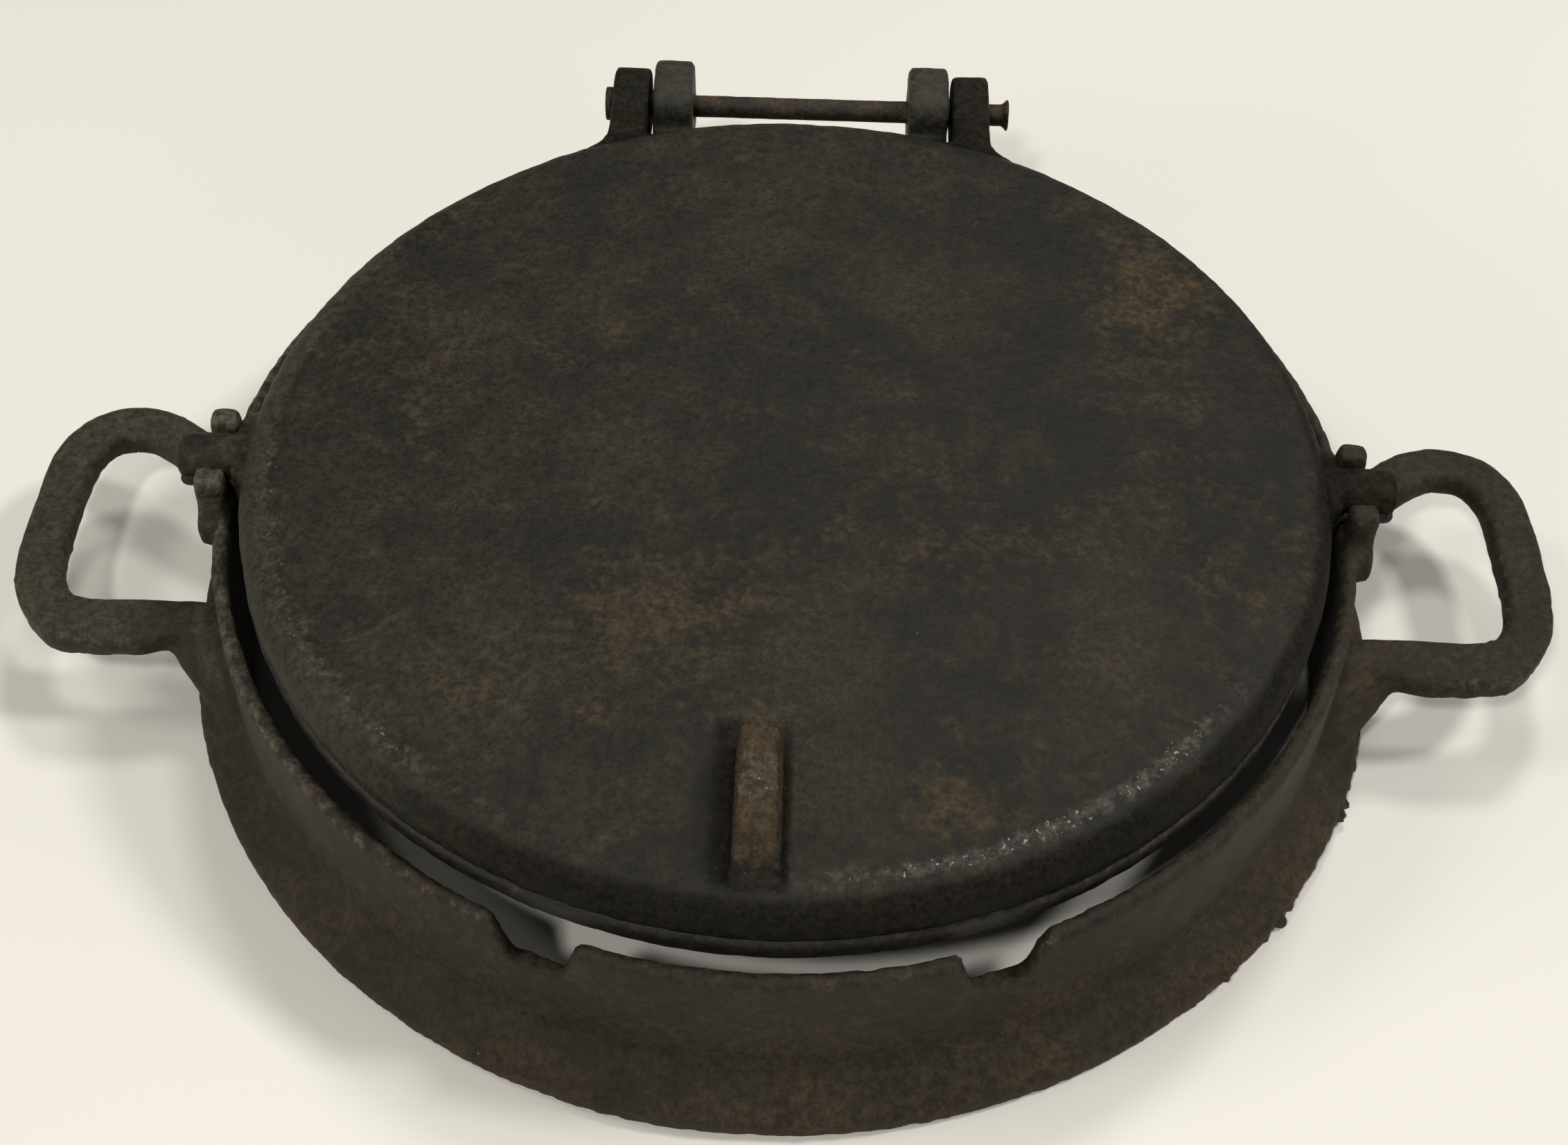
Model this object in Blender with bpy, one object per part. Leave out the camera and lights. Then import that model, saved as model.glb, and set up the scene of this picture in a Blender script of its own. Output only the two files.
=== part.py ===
"""A stovetop waffle iron in cast iron: a ring stand, two hinged paddles and the hinge's pin.

The paddles meet face to face on the parting plane. Half journals on their sides lie together in
open bearings on the ring, so the closed pair turns over about X. The lid opens about the pin.
A paddle is modelled with the parting plane at height zero and its outside above it, and the
lower one is the mirror image.
"""

import math

import bmesh
import bpy
from mathutils import Matrix, Vector

# General
CLEARANCE = 0.0003
OVERLAP = 0.0006
OVERRUN = 0.004
TURN_STEPS = 80
HALF_ROUND_STEPS = 10
CORNER_STEPS = 3
BAR_CORNER_STEPS = 2
EYE_CORNER_STEPS = 4
BEVEL_STEPS = 2
PIN_STEPS = 20
SHARP_ANGLE = math.radians(32)

# Paddles
RIM_RADIUS = 0.102
RIM_BAND = 0.003
RIM_CHAMFER = 0.0004
LAND_WIDTH = 0.0045
SHOULDER_WIDTH = 0.0065
SHOULDER_RISE = 0.0055
SHOULDER_STEPS = 5
CROWN_RISE = 0.001
CROWN_SHARES = (0.0, 0.36, 0.7)
CAVITY_DEPTH = 0.006
CAVITY_DRAFT = 0.001

# Waffle grid
TOOTH_SIZE = 0.0122
TOOTH_DRAFT = 0.0014
TOOTH_HEIGHT = 0.0038
CHANNEL_WIDTH = 0.0036
DIVIDER_WIDTH = 0.003
GRID_MARGIN = 0.0012

# Ring stand
RING_GAP = 0.003
WALL_THICKNESS = 0.0032
WALL_HEIGHT = 0.036
WALL_ROUND = 0.0012
FLANGE_WIDTH = 0.008
FLANGE_HEIGHT = 0.0046
FLANGE_ROUND = 0.0012
FOOT_WIDTH = 0.0035
FLARE_HEIGHT = 0.011
FLARE_ROUND = 0.004
HOLLOW_HEIGHT = 0.0085

# Bearings on the ring, and the journals that turn in them
AXIS_RISE = 0.003
JOURNAL_RADIUS = 0.0052
JOURNAL_OVERHANG = 0.0044
JOURNAL_ROUND = 0.001
CHEEK_BULGE = 0.0024
CHEEK_HALF_WIDTH = 0.017
CHEEK_FACE_SHARE = 0.62
CHEEK_DROP = 0.012
CHEEK_ROUND = 0.0007
BEARING_RISE = 0.0043
BEARING_EAR = 0.0051
BEARING_FOOT = 0.0032
BEARING_ROUND = 0.0022
BEARING_LEAD = 0.0011
BOSS_HEIGHT = 0.0042
BOSS_HALF_WIDTH = 0.0065
BOSS_ROOT_HALF_WIDTH = 0.012
BOSS_REACH = 0.0022
BOSS_DEPTH = 0.003

# Handles, as the bar's centre line in plan
HANDLE_REACH = 0.0362
HANDLE_REAR = 0.0266
HANDLE_FRONT = 0.0248
HANDLE_WIDTH = 0.0092
HANDLE_THICKNESS = 0.0055
HANDLE_TOP = 0.022
HANDLE_ROUND = 0.0015
HANDLE_STEPS = 3
HANDLE_REAR_SHARES = (
    (-0.16, 0.50), (0.06, 0.57), (0.30, 0.74), (0.505, 0.935),
    (0.685, 1.0), (0.86, 0.925), (0.96, 0.72), (0.997, 0.45),
)
HANDLE_FRONT_SHARES = (
    (1.0, 0.0), (0.993, -0.33), (0.955, -0.65), (0.84, -0.91), (0.66, -1.0), (0.33, -1.0), (-0.23, -1.0),
)
GUSSET_REACH = 0.014
GUSSET_WIDTH = 0.018
GUSSET_TOE_SHARE = 0.35
GUSSET_ROOT = 0.003

# Hinge
PIN_RADIUS = 0.0024
PIN_HEAD_RADIUS = 0.0037
PIN_HEAD_LENGTH = 0.0016
PIN_TAIL_LENGTH = 0.0047
PIN_FLARE_LENGTH = 0.0014
EAR_SPACING = 0.048
INNER_EAR_WIDTH = 0.0088
INNER_EYE = 0.0085
OUTER_EAR_WIDTH = 0.0083
OUTER_EYE = 0.0072
EAR_GAP = 0.0008
EAR_ROUND = 0.0009
EYE_CORNER = 0.0048
EYE_CLEARANCE = 0.0005
ARM_DEPTH = 0.0068
ARM_INSET = 0.0002
LARGE_FILLET = 0.008
SMALL_FILLET = 0.0015
FILLET_STEPS = 4

# Notches in the ring's wall that the hinge's ears lie in
NOTCH_DEPTH = 0.009
NOTCH_FLARE = 0.0031
REAR_NOTCH_GAP = 0.0015
REAR_NOTCH_FLARE = 0.0015

# Lug on each paddle
LUG_OFFSET = -0.0024
LUG_THICKNESS = 0.006
LUG_DRAFT = 0.0016
LUG_HEIGHT = 0.009
LUG_REAR = 0.0704
LUG_TOP_LENGTH = 0.0195
LUG_REAR_SLOPE = 0.0012
LUG_FRONT = 0.0985
LUG_CORNER = 0.0012
LUG_NOSE = 0.007
LUG_ROUND = 0.0007

# Derived sizes
PARTING = CLEARANCE / 2
SHOULDER_HEIGHT = RIM_BAND + SHOULDER_RISE
CROWN_RADIUS = RIM_RADIUS - SHOULDER_WIDTH
CAVITY_RADIUS = RIM_RADIUS - LAND_WIDTH
CAVITY_FLOOR_RADIUS = CAVITY_RADIUS - CAVITY_DRAFT
GRID_RADIUS = CAVITY_RADIUS + LAND_WIDTH / 2
TOOTH_PITCH = TOOTH_SIZE + CHANNEL_WIDTH
TOOTH_TOP = CAVITY_DEPTH - TOOTH_HEIGHT
WALL_INNER_RADIUS = RIM_RADIUS + RING_GAP
WALL_OUTER_RADIUS = WALL_INNER_RADIUS + WALL_THICKNESS
FLANGE_RADIUS = WALL_OUTER_RADIUS + FLANGE_WIDTH
AXIS_HEIGHT = WALL_HEIGHT + AXIS_RISE
BORE_RADIUS = JOURNAL_RADIUS + CLEARANCE
CHEEK_INNER = WALL_INNER_RADIUS + CLEARANCE
CHEEK_OUTER = WALL_OUTER_RADIUS + CHEEK_BULGE
JOURNAL_END = CHEEK_OUTER + JOURNAL_OVERHANG
INNER_EAR_START = EAR_SPACING / 2
INNER_EAR_END = INNER_EAR_START + INNER_EAR_WIDTH
OUTER_EAR_START = INNER_EAR_END + EAR_GAP
OUTER_EAR_END = OUTER_EAR_START + OUTER_EAR_WIDTH
WALL_AT_EAR = math.sqrt(WALL_OUTER_RADIUS**2 - INNER_EAR_START**2)
HINGE_OFFSET = WALL_AT_EAR + EYE_CLEARANCE + INNER_EYE
PIN_BORE_RADIUS = PIN_RADIUS + CLEARANCE
RING_CENTRE_Y = (FLANGE_RADIUS - HINGE_OFFSET - INNER_EYE) / 2


# Shape helpers


def arc(centre, radius, start, end, steps):
    """Points on an arc, from one angle to another."""
    angles = [start + (end - start) * i / steps for i in range(steps + 1)]
    return [(centre[0] + radius * math.cos(a), centre[1] + radius * math.sin(a)) for a in angles]


def rounded(corners, steps):
    """An outline from (u, v, radius) corners, where each radius above zero becomes an arc."""
    points = []
    for i, (u, v, radius) in enumerate(corners):
        here = Vector((u, v))
        if not radius:
            points.append((u, v))
            continue
        back = (Vector(corners[i - 1][:2]) - here).normalized()
        ahead = (Vector(corners[(i + 1) % len(corners)][:2]) - here).normalized()
        half = back.angle(ahead) / 2
        centre = here + (back + ahead).normalized() * radius / math.sin(half)
        first = here + back * radius / math.tan(half) - centre
        last = here + ahead * radius / math.tan(half) - centre
        start = math.atan2(first.y, first.x)
        turn = math.remainder(math.atan2(last.y, last.x) - start, math.tau)
        points += arc(centre, radius, start, start + turn, steps)
    return points


def turned(outline, steps=TURN_STEPS):
    """A solid of revolution about Z from (radius, height) points, open only where it meets the axis."""
    bm = bmesh.new()
    points = [bm.verts.new((r, 0, z)) for r, z in outline]
    pairs = list(zip(points, points[1:]))
    if min(r for r, _ in outline) > 0:
        pairs.append((points[-1], points[0]))
    edges = [bm.edges.new(pair) for pair in pairs]
    geom = points + edges
    bmesh.ops.spin(
        bm, geom=geom, cent=(0, 0, 0), axis=(0, 0, 1), angle=math.tau, steps=steps, use_merge=True
    )
    bmesh.ops.remove_doubles(bm, verts=bm.verts, dist=CLEARANCE / steps)
    bmesh.ops.recalc_face_normals(bm, faces=bm.faces)
    return bm


def place(axis, along, u, v):
    """A point from its distance along an axis and its place across that axis."""
    return {"X": (along, u, v), "Y": (u, along, v), "Z": (u, v, along)}[axis]


def bevel_rims(bm, rims, width):
    """Rounds the edges that run around the given rims."""
    edges = {e for rim in rims for v in rim for e in v.link_edges if e.other_vert(v) in rim}
    bmesh.ops.bevel(bm, geom=list(edges), offset=width, segments=BEVEL_STEPS, profile=0.5, affect="EDGES")


def prism(outline, axis, start, end, far_round=0.0, near_round=0.0):
    """An outline extruded along an axis, with the rim at either end rounded if a width is given."""
    bm = bmesh.new()
    near = [bm.verts.new(place(axis, start, u, v)) for u, v in outline]
    far = [bm.verts.new(place(axis, end, u, v)) for u, v in outline]
    bm.faces.new(near)
    bm.faces.new(far)
    for i, _ in enumerate(outline):
        bm.faces.new((near[i - 1], near[i], far[i], far[i - 1]))
    bmesh.ops.recalc_face_normals(bm, faces=bm.faces)
    if far_round:
        bevel_rims(bm, [far], far_round)
    if near_round:
        bevel_rims(bm, [near], near_round)
    return bm


def hull(points):
    """The convex solid around a few points."""
    bm = bmesh.new()
    verts = [bm.verts.new(p) for p in points]
    made = bmesh.ops.convex_hull(bm, input=verts)
    loose = {e for e in made["geom_interior"] + made["geom_unused"] if isinstance(e, bmesh.types.BMVert)}
    bmesh.ops.delete(bm, geom=list(loose), context="VERTS")
    bmesh.ops.recalc_face_normals(bm, faces=bm.faces)
    return bm


def curve_between(a, b, c, d, t):
    """A point on the Catmull-Rom curve from b to c."""
    return (b * 2 + (c - a) * t + (a * 2 - b * 5 + c * 4 - d) * t**2 + (b * 3 - a - c * 3 + d) * t**3) / 2


def smooth_path(points, steps):
    """A smooth curve in plan through all the points."""
    ends = [points[0] * 2 - points[1], *points, points[-1] * 2 - points[-2]]
    path = []
    for four in zip(ends, ends[1:], ends[2:], ends[3:]):
        path += [curve_between(*four, i / steps) for i in range(steps)]
    return [*path, points[-1]]


def swept_bar(path, section):
    """A bar along a level path, from a section of (sideways, height) points."""
    bm = bmesh.new()
    rings = []
    for i, here in enumerate(path):
        ahead = (path[min(i + 1, len(path) - 1)] - path[max(i - 1, 0)]).normalized()
        side = Vector((ahead.y, -ahead.x))
        rings.append([bm.verts.new((*(here + side * s), z)) for s, z in section])
    for first, second in zip(rings, rings[1:]):
        for i, _ in enumerate(section):
            bm.faces.new((first[i - 1], first[i], second[i], second[i - 1]))
    bm.faces.new(rings[0])
    bm.faces.new(rings[-1])
    bmesh.ops.recalc_face_normals(bm, faces=bm.faces)
    return bm


def joined(shapes):
    """One shape from several that stay apart."""
    whole = bmesh.new()
    for shape in shapes:
        mesh = bpy.data.meshes.new("shape")
        shape.to_mesh(mesh)
        shape.free()
        whole.from_mesh(mesh)
        bpy.data.meshes.remove(mesh)
    return whole


def mirrored(shape, axis):
    """A copy mirrored across the plane through the origin that is square to an axis."""
    copy = shape.copy()
    flip = Matrix.Identity(4)
    flip[axis][axis] = -1
    bmesh.ops.transform(copy, matrix=flip, verts=copy.verts)
    bmesh.ops.reverse_faces(copy, faces=copy.faces)
    return copy


def both_sides(shape):
    """A shape and its mirror image in X."""
    return joined([mirrored(shape, 0), shape])


# Object helpers


def material(name, colour, roughness, metallic):
    """A surface with a colour, a roughness and a metallic share."""
    made = bpy.data.materials.new(name)
    made.use_nodes = True
    shader = made.node_tree.nodes["Principled BSDF"]
    shader.inputs["Base Color"].default_value = (*colour, 1.0)
    shader.inputs["Roughness"].default_value = roughness
    shader.inputs["Metallic"].default_value = metallic
    return made


def empty(name, location, parent=None):
    """An empty that carries pieces."""
    made = bpy.data.objects.new(name, None)
    bpy.context.scene.collection.objects.link(made)
    made.parent = parent
    made.location = location
    return made


def add_object(name, shape, parent, location=(0, 0, 0)):
    """An object from a shape, smooth where it is round."""
    mesh = bpy.data.meshes.new(name)
    shape.to_mesh(mesh)
    shape.free()
    mesh.shade_smooth()
    mesh.set_sharp_from_angle(angle=SHARP_ANGLE)
    made = bpy.data.objects.new(name, mesh)
    bpy.context.scene.collection.objects.link(made)
    made.parent = parent
    made.location = location
    return made


def apply_shape(target, name, shape, operation):
    """Adds a hidden shape to an object, cuts it away or keeps what lies in it."""
    tool = add_object(name, shape, target.parent, target.location)
    tool.hide_render = True
    tool.display_type = "WIRE"
    boolean = target.modifiers.new(name, "BOOLEAN")
    boolean.operation = operation
    boolean.solver = "EXACT"
    boolean.object = tool
    return tool


# Ring stand


def ring_outline():
    """The ring's section, from the wall's rounded top down its outside to the foot and up inside."""
    return rounded(
        [
            (WALL_INNER_RADIUS, WALL_HEIGHT, WALL_ROUND),
            (WALL_OUTER_RADIUS, WALL_HEIGHT, WALL_ROUND),
            (WALL_OUTER_RADIUS, FLARE_HEIGHT, FLARE_ROUND),
            (FLANGE_RADIUS, FLANGE_HEIGHT, FLANGE_ROUND),
            (FLANGE_RADIUS, 0, FLANGE_ROUND),
            (FLANGE_RADIUS - FLANGE_ROUND - FOOT_WIDTH, 0, 0),
            (WALL_INNER_RADIUS, HOLLOW_HEIGHT, 0),
        ],
        CORNER_STEPS,
    )


def handle_path():
    """The centre line of the right handle's bar: the short rear arm, the grip and the long front arm."""
    rear = [(WALL_OUTER_RADIUS + HANDLE_REACH * x, HANDLE_REAR * y) for x, y in HANDLE_REAR_SHARES]
    front = [(WALL_OUTER_RADIUS + HANDLE_REACH * x, HANDLE_FRONT * y) for x, y in HANDLE_FRONT_SHARES]
    return smooth_path([Vector(p) for p in rear + front], HANDLE_STEPS)


def handle():
    """The right handle, a flat bar bent to a loop."""
    half = HANDLE_WIDTH / 2
    low = HANDLE_TOP - HANDLE_THICKNESS
    section = rounded(
        [
            (half, low, HANDLE_ROUND),
            (half, HANDLE_TOP, HANDLE_ROUND),
            (-half, HANDLE_TOP, HANDLE_ROUND),
            (-half, low, HANDLE_ROUND),
        ],
        BAR_CORNER_STEPS,
    )
    return swept_bar(handle_path(), section)


def gusset():
    """The web that spreads the right handle's front arm forward into the wall and the flange."""
    near = -HANDLE_FRONT
    far = near - GUSSET_WIDTH
    top = HANDLE_TOP - HANDLE_ROUND
    wall_near = math.sqrt(WALL_OUTER_RADIUS**2 - near**2) - WALL_THICKNESS / 2
    wall_far = math.sqrt(WALL_OUTER_RADIUS**2 - far**2) - WALL_THICKNESS / 2
    middle = near + (far - near) / 2
    return hull(
        [
            (wall_near, near, top),
            (wall_near + GUSSET_REACH, near, top),
            (wall_near + GUSSET_REACH, near - HANDLE_WIDTH / 4, top),
            (wall_near, middle, top),
            (wall_near, near, GUSSET_ROOT),
            (wall_near + GUSSET_REACH * GUSSET_TOE_SHARE, near, GUSSET_ROOT),
            (wall_near + GUSSET_REACH * GUSSET_TOE_SHARE, middle, GUSSET_ROOT),
            (wall_far + GUSSET_ROOT, far, GUSSET_ROOT),
            (wall_far, far, GUSSET_ROOT),
        ]
    )


def bearing():
    """The pair of ears on the right that stand up beside the journal."""
    top = AXIS_HEIGHT + BEARING_RISE
    side = BORE_RADIUS + BEARING_EAR
    foot = side + BEARING_FOOT
    low = WALL_HEIGHT - WALL_ROUND
    root = low - BORE_RADIUS
    return prism(
        rounded(
            [
                (-foot, root, 0),
                (foot, root, 0),
                (foot, low, 0),
                (side, WALL_HEIGHT + WALL_ROUND, BEARING_ROUND),
                (side, top, BEARING_ROUND),
                (-side, top, BEARING_ROUND),
                (-side, WALL_HEIGHT + WALL_ROUND, BEARING_ROUND),
                (-foot, low, 0),
            ],
            CORNER_STEPS,
        ),
        "X",
        CHEEK_INNER,
        CHEEK_OUTER,
        CHEEK_ROUND,
        CHEEK_ROUND,
    )


def cheek():
    """The right bearing's thick place in the wall, which tapers away to both sides and downwards."""
    root = WALL_OUTER_RADIUS - WALL_THICKNESS / 2
    low = WALL_HEIGHT - CHEEK_DROP
    face = CHEEK_HALF_WIDTH * CHEEK_FACE_SHARE
    face_low = WALL_HEIGHT - CHEEK_DROP * CHEEK_FACE_SHARE
    top = WALL_HEIGHT - WALL_ROUND
    points = []
    for side in (-1, 1):
        points += [
            (root - CHEEK_BULGE / 2, side * CHEEK_HALF_WIDTH, top),
            (root, side * face, low),
            (root - CHEEK_BULGE / 2, side * CHEEK_HALF_WIDTH, face_low),
            (CHEEK_OUTER, side * face, top),
            (CHEEK_OUTER, side * face / 2, face_low),
        ]
    return hull(points)


def bearing_slot():
    """The open cut for the right journal, round below and wider at its mouth."""
    top = AXIS_HEIGHT + BEARING_RISE
    half = BORE_RADIUS
    outline = arc((0, AXIS_HEIGHT), half, -math.pi, 0, HALF_ROUND_STEPS)
    outline += [
        (half, top - BEARING_LEAD),
        (half + BEARING_LEAD, top + CLEARANCE),
        (half + BEARING_LEAD, top + OVERRUN),
        (-half - BEARING_LEAD, top + OVERRUN),
        (-half - BEARING_LEAD, top + CLEARANCE),
        (-half, top - BEARING_LEAD),
    ]
    return prism(outline, "X", RIM_RADIUS, CHEEK_OUTER + OVERRUN)


def notch(centre, floor, half_width, flare, side):
    """A cut through the wall for one ear, narrower at its floor, in front or behind."""
    slope = flare / (WALL_HEIGHT - floor)
    half_top = half_width + slope * (WALL_HEIGHT + OVERRUN - floor)
    outline = [
        (centre - half_width, floor),
        (centre + half_width, floor),
        (centre + half_top, WALL_HEIGHT + OVERRUN),
        (centre - half_top, WALL_HEIGHT + OVERRUN),
    ]
    near = math.sqrt(WALL_INNER_RADIUS**2 - (centre + half_top) ** 2) - OVERRUN
    return prism(outline, "Y", side * near, side * (WALL_OUTER_RADIUS + OVERRUN))


def notches():
    """All four notches: two in front that take the lid's ears when it is turned over, two behind."""
    outer_centre = (OUTER_EAR_START + OUTER_EAR_END) / 2
    inner_centre = (INNER_EAR_START + INNER_EAR_END) / 2
    outer_half = (OUTER_EAR_WIDTH + CLEARANCE) / 2
    inner_half = INNER_EAR_WIDTH / 2 + REAR_NOTCH_GAP
    rear_floor = AXIS_HEIGHT - ARM_DEPTH - CLEARANCE
    front = notch(outer_centre, WALL_HEIGHT - NOTCH_DEPTH, outer_half, NOTCH_FLARE, -1)
    rear = notch(inner_centre, rear_floor, inner_half, REAR_NOTCH_FLARE, 1)
    return both_sides(joined([front, rear]))


def handle_trim():
    """A disc that ends the handles' bars in the middle of the wall."""
    radius = WALL_INNER_RADIUS + WALL_THICKNESS / 2
    top = HANDLE_TOP + OVERRUN
    low = HANDLE_TOP - HANDLE_THICKNESS - OVERRUN
    return turned([(0, top), (radius, top), (radius, low), (0, low)])


def make_ring(parent):
    """The ring stand, with its handles, bearings and notches in one casting."""
    ring = add_object("base_ring", turned(ring_outline()), parent)
    bars = apply_shape(ring, "handles", both_sides(handle()), "UNION")
    apply_shape(bars, "handle_trim", handle_trim(), "DIFFERENCE")
    apply_shape(ring, "handle_gussets", both_sides(gusset()), "UNION")
    apply_shape(ring, "cheeks", both_sides(cheek()), "UNION")
    apply_shape(ring, "bearings", both_sides(bearing()), "UNION")
    apply_shape(ring, "bearing_slots", both_sides(bearing_slot()), "DIFFERENCE")
    apply_shape(ring, "ear_notches", notches(), "DIFFERENCE")
    ring.data.materials.append(material("ring_iron", (0.045, 0.038, 0.033), 0.62, 0.6))


# Paddles


def paddle_outline():
    """A paddle's section: crowned top, rounded shoulder, rim, land and the hollow for the grid."""
    crown = [(CROWN_RADIUS * s, SHOULDER_HEIGHT + CROWN_RISE * (1 - s**2)) for s in CROWN_SHARES]
    turns = [math.pi / 2 * (1 - i / SHOULDER_STEPS) for i in range(SHOULDER_STEPS + 1)]
    shoulder = [
        (CROWN_RADIUS + SHOULDER_WIDTH * math.cos(a), RIM_BAND + SHOULDER_RISE * math.sin(a)) for a in turns
    ]
    return [
        *crown,
        *shoulder,
        (RIM_RADIUS, PARTING + RIM_CHAMFER),
        (RIM_RADIUS - RIM_CHAMFER, PARTING),
        (CAVITY_RADIUS, PARTING),
        (CAVITY_FLOOR_RADIUS, CAVITY_DEPTH),
        (0, CAVITY_DEPTH),
    ]


def tooth(x, y):
    """One square tooth of the grid, narrower at its top, rooted in the hollow's floor."""
    bm = bmesh.new()
    root = CAVITY_DEPTH + OVERLAP
    sizes = ((TOOTH_SIZE / 2, root), (TOOTH_SIZE / 2 - TOOTH_DRAFT, TOOTH_TOP))
    corners = ((-1, -1), (1, -1), (1, 1), (-1, 1))
    rims = [[bm.verts.new((x + u * half, y + v * half, z)) for u, v in corners] for half, z in sizes]
    bm.faces.new(rims[0])
    bm.faces.new(rims[1])
    for i, _ in enumerate(corners):
        bm.faces.new((rims[0][i - 1], rims[0][i], rims[1][i], rims[1][i - 1]))
    bmesh.ops.recalc_face_normals(bm, faces=bm.faces)
    return bm


def divider():
    """The cross that parts the grid into quarters."""
    half = DIVIDER_WIDTH / 2
    quarter = [(RIM_RADIUS, half), (half, half), (half, RIM_RADIUS)]
    outline = []
    for turn in range(4):
        spin = Matrix.Rotation(turn * math.pi / 2, 2)
        outline += [tuple(spin @ Vector(p)) for p in quarter]
    return prism(outline, "Z", TOOTH_TOP, CAVITY_DEPTH + OVERLAP)


def grid():
    """The divider and every tooth that reaches into the hollow."""
    first = DIVIDER_WIDTH / 2 + CHANNEL_WIDTH + TOOTH_SIZE / 2
    count = math.ceil(CAVITY_RADIUS / TOOTH_PITCH)
    places = [first + i * TOOTH_PITCH for i in range(count)]
    half = TOOTH_SIZE / 2
    limit = CAVITY_FLOOR_RADIUS - GRID_MARGIN
    quarter = [(x, y) for x in places for y in places if math.hypot(x - half, y - half) < limit]
    teeth = [tooth(u * x, v * y) for x, y in quarter for u in (-1, 1) for v in (-1, 1)]
    return joined([divider(), *teeth])


def grid_bounds():
    """The disc that ends the grid inside the land."""
    top = CAVITY_DEPTH + OVERLAP + OVERRUN
    return turned([(0, top), (GRID_RADIUS, top), (GRID_RADIUS, PARTING), (0, PARTING)])


def journal():
    """The right half journal, from inside the rim out through the bearing."""
    start = math.asin(PARTING / JOURNAL_RADIUS)
    outline = arc((0, 0), JOURNAL_RADIUS, start, math.pi - start, HALF_ROUND_STEPS)
    return prism(outline, "X", RIM_RADIUS - BOSS_DEPTH, JOURNAL_END, JOURNAL_ROUND)


def boss():
    """The swelling of the rim behind the right journal."""
    root = RIM_RADIUS - BOSS_DEPTH
    end = RIM_RADIUS + BOSS_REACH
    points = []
    for side in (-1, 1):
        for height in (PARTING, BOSS_HEIGHT):
            points.append((root, side * BOSS_ROOT_HALF_WIDTH, height))
            points.append((end, side * BOSS_HALF_WIDTH, height))
    return hull(points)


def arm(start, end, eye, outer_radius, inner_radius):
    """The flat arm that carries a right eye, spread into the rim by a fillet on each side."""
    left = start + ARM_INSET
    right = end - ARM_INSET
    seat = RIM_RADIUS - OVERLAP
    left_x = left - inner_radius
    right_x = right + outer_radius
    left_centre = (left_x, math.sqrt((seat + inner_radius) ** 2 - left_x**2))
    right_centre = (right_x, math.sqrt((seat + outer_radius) ** 2 - right_x**2))
    left_turn = math.atan2(-left_centre[1], -left_centre[0])
    right_turn = math.atan2(-right_centre[1], -right_centre[0]) + math.tau
    reach = HINGE_OFFSET - eye + EYE_CORNER
    outline = arc(left_centre, inner_radius, left_turn, 0, FILLET_STEPS)
    outline += [(left, reach), (right, reach)]
    outline += arc(right_centre, outer_radius, math.pi, right_turn, FILLET_STEPS)
    root_share = (seat - LAND_WIDTH / 2) / seat
    outline += [tuple(Vector(outline[i]) * root_share) for i in (-1, 0)]
    return prism(outline, "Z", PARTING, ARM_DEPTH, EAR_ROUND)


def eye_block(start, end, eye):
    """The rounded square block round the pin at the end of a right arm."""
    near = HINGE_OFFSET - eye
    far = HINGE_OFFSET + eye
    corners = ((near, -eye), (far, -eye), (far, eye), (near, eye))
    outline = rounded([(y, z, EYE_CORNER) for y, z in corners], EYE_CORNER_STEPS)
    return prism(outline, "X", start, end, EAR_ROUND, EAR_ROUND)


def pin_bore():
    """The hole for the pin, through every ear."""
    end = OUTER_EAR_END + OVERRUN
    circle = arc((HINGE_OFFSET, 0), PIN_BORE_RADIUS, 0, math.tau, PIN_STEPS)[:-1]
    return prism(circle, "X", -end, end)


def lug():
    """The upright fin near the front edge that lifts a paddle, thicker at its root."""
    root = CAVITY_DEPTH + OVERLAP
    top = SHOULDER_HEIGHT + CROWN_RISE + LUG_HEIGHT
    rear = LUG_REAR + LUG_REAR_SLOPE
    outline = rounded(
        [
            (-LUG_REAR, root, 0),
            (-rear, top, LUG_CORNER),
            (-rear - LUG_TOP_LENGTH, top, LUG_NOSE),
            (-LUG_FRONT, root, 0),
        ],
        CORNER_STEPS,
    )
    points = []
    for y, z in outline:
        half = LUG_THICKNESS / 2 + LUG_DRAFT * (top - z) / (top - root)
        points += [(LUG_OFFSET - half, y, z), (LUG_OFFSET + half, y, z)]
    shape = hull(points)
    flat = math.radians(1)
    bmesh.ops.dissolve_limit(shape, angle_limit=flat, verts=shape.verts, edges=shape.edges)
    sharp = [e for e in shape.edges if e.calc_face_angle() > SHARP_ANGLE]
    sides = [e for e in sharp if max(v.co.z for v in e.verts) > root]
    bmesh.ops.bevel(shape, geom=sides, offset=LUG_ROUND, segments=BEVEL_STEPS, profile=0.5, affect="EDGES")
    return shape


def make_paddle(name, parent, location, ears, fillets, side, surface):
    """A paddle, with its outside up for side 1 and down for side -1."""

    def facing(shape):
        return shape if side > 0 else mirrored(shape, 2)

    paddle = add_object(name, facing(turned(paddle_outline())), parent, location)
    teeth = apply_shape(paddle, name + "_grid", facing(grid()), "UNION")
    apply_shape(teeth, name + "_grid_bounds", facing(grid_bounds()), "INTERSECT")
    apply_shape(paddle, name + "_bosses", facing(both_sides(boss())), "UNION")
    apply_shape(paddle, name + "_journals", facing(both_sides(journal())), "UNION")
    apply_shape(paddle, name + "_arms", facing(both_sides(arm(*ears, *fillets))), "UNION")
    apply_shape(paddle, name + "_eyes", facing(both_sides(eye_block(*ears))), "UNION")
    apply_shape(paddle, name + "_lug", facing(lug()), "UNION")
    apply_shape(paddle, name + "_pin_bore", pin_bore(), "DIFFERENCE")
    paddle.data.materials.append(surface)


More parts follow.
